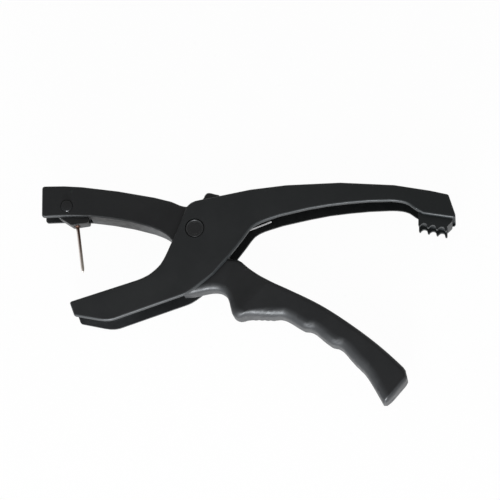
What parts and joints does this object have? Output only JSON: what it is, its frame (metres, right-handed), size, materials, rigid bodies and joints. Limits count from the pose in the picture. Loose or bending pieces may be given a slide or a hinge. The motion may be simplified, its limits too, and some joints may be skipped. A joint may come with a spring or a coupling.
{
  "type": "ear tag applicator",
  "caption": "Hand plier that sets two-piece ear tags: channel frame with a slotted tag seat, a lever with finger scoops, and a rocking pin carrier.",
  "frame": {"origin": "where the pivot's axis meets the plane of the rear cheek's outer face, on which the tool lies", "axes": "+X along the tool towards the handles' ends, +Y towards the upper handle, +Z along the pivot's axis, out of the front cheek"},
  "size_m": [0.2509, 0.1321, 0.026],
  "materials": {
    "body_plastic": "fine satin moulded black",
    "lever_plastic": "fine satin moulded black",
    "bright_steel": "bright",
    "blacked_steel": "blacked, satin",
    "pin_metal": "warm grey, smooth",
    "nylon": "natural"
  },
  "bodies": {
    "frame": {"outer_frame": "body_plastic", "stop_comb": "body_plastic", "tag_anvil": "bright_steel", "tag_clip": "bright_steel", "tag_clip_screw_1": "blacked_steel", "tag_clip_screw_2": "blacked_steel", "pivot_pin": "blacked_steel", "pivot_circlip": "blacked_steel", "rear_thrust_washer": "nylon", "front_thrust_washer": "nylon", "return_spring": "bright_steel"},
    "lever": {"inner_lever": "lever_plastic", "pivot_sleeve": "bright_steel", "carrier_axle": "blacked_steel", "carrier_axle_clip": "bright_steel"},
    "carrier": {"pin_carrier": "lever_plastic", "applicator_pin": "pin_metal", "pin_lock_screw": "blacked_steel", "carrier_spring": "bright_steel"}
  },
  "joints": [
    {"name": "lever_hinge", "type": "hinge", "parent": "frame", "child": "lever", "pos_m": [0, 0, 0.013], "axis": [0, 0, 1], "range_deg": [0, 30], "stiffness_Nm_per_rad": 0.5, "springref_deg": -20.05, "deforming": ["return_spring"]},
    {"name": "carrier_flip", "type": "hinge", "parent": "lever", "child": "carrier", "pos_m": [-0.0795, 0.0149, 0.013], "axis": [0, 0, 1], "range_deg": [-75, 0], "stiffness_Nm_per_rad": 0.02, "springref_deg": 17.19, "deforming": ["carrier_spring"]}
  ]
}
